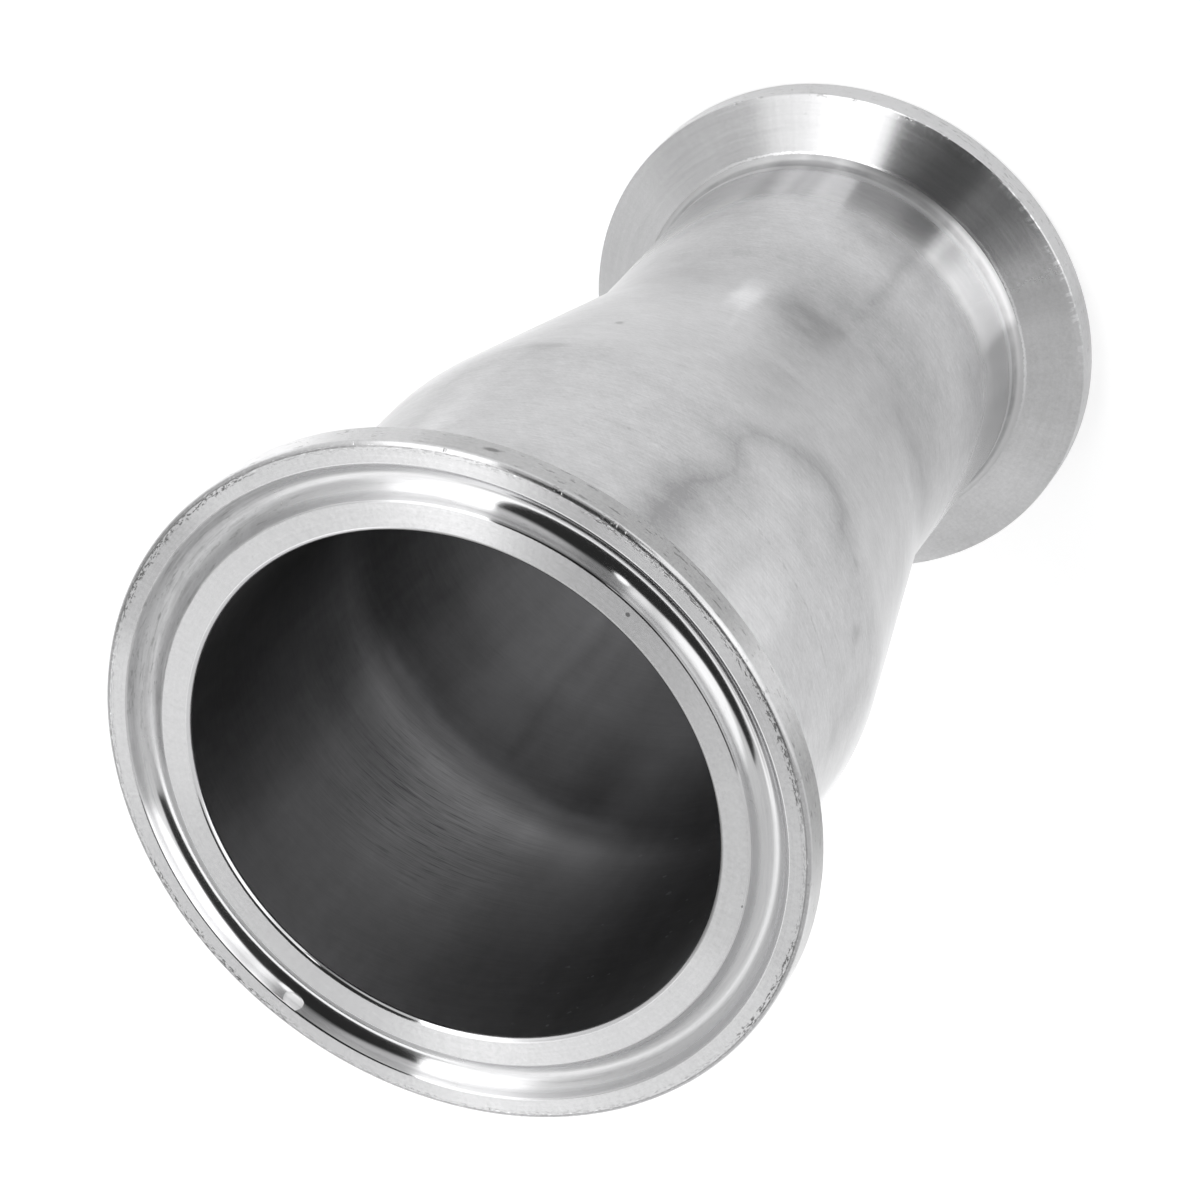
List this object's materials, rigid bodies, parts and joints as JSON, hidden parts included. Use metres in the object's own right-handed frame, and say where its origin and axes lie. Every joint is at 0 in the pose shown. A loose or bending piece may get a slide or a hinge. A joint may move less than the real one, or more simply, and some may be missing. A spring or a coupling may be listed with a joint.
{
  "type": "sanitary clamp reducer",
  "caption": "Concentric reducer for sanitary tubing: a steel tube that narrows from a large bore to a small one, with a flat, grooved clamp ferrule at each end.",
  "frame": {"origin": "centre of the small ferrule's face, which the part stands on", "axes": "+Z along the bore, from the small ferrule up to the large mouth; the part is round, so X and Y are free"},
  "size_m": [0.064, 0.064, 0.0943],
  "materials": {
    "steel": "satin ground outside of the tube, turned and polished ferrules, dark drawn bore"
  },
  "bodies": {
    "root": {"clamp_reducer": "steel"}
  },
  "joints": []
}
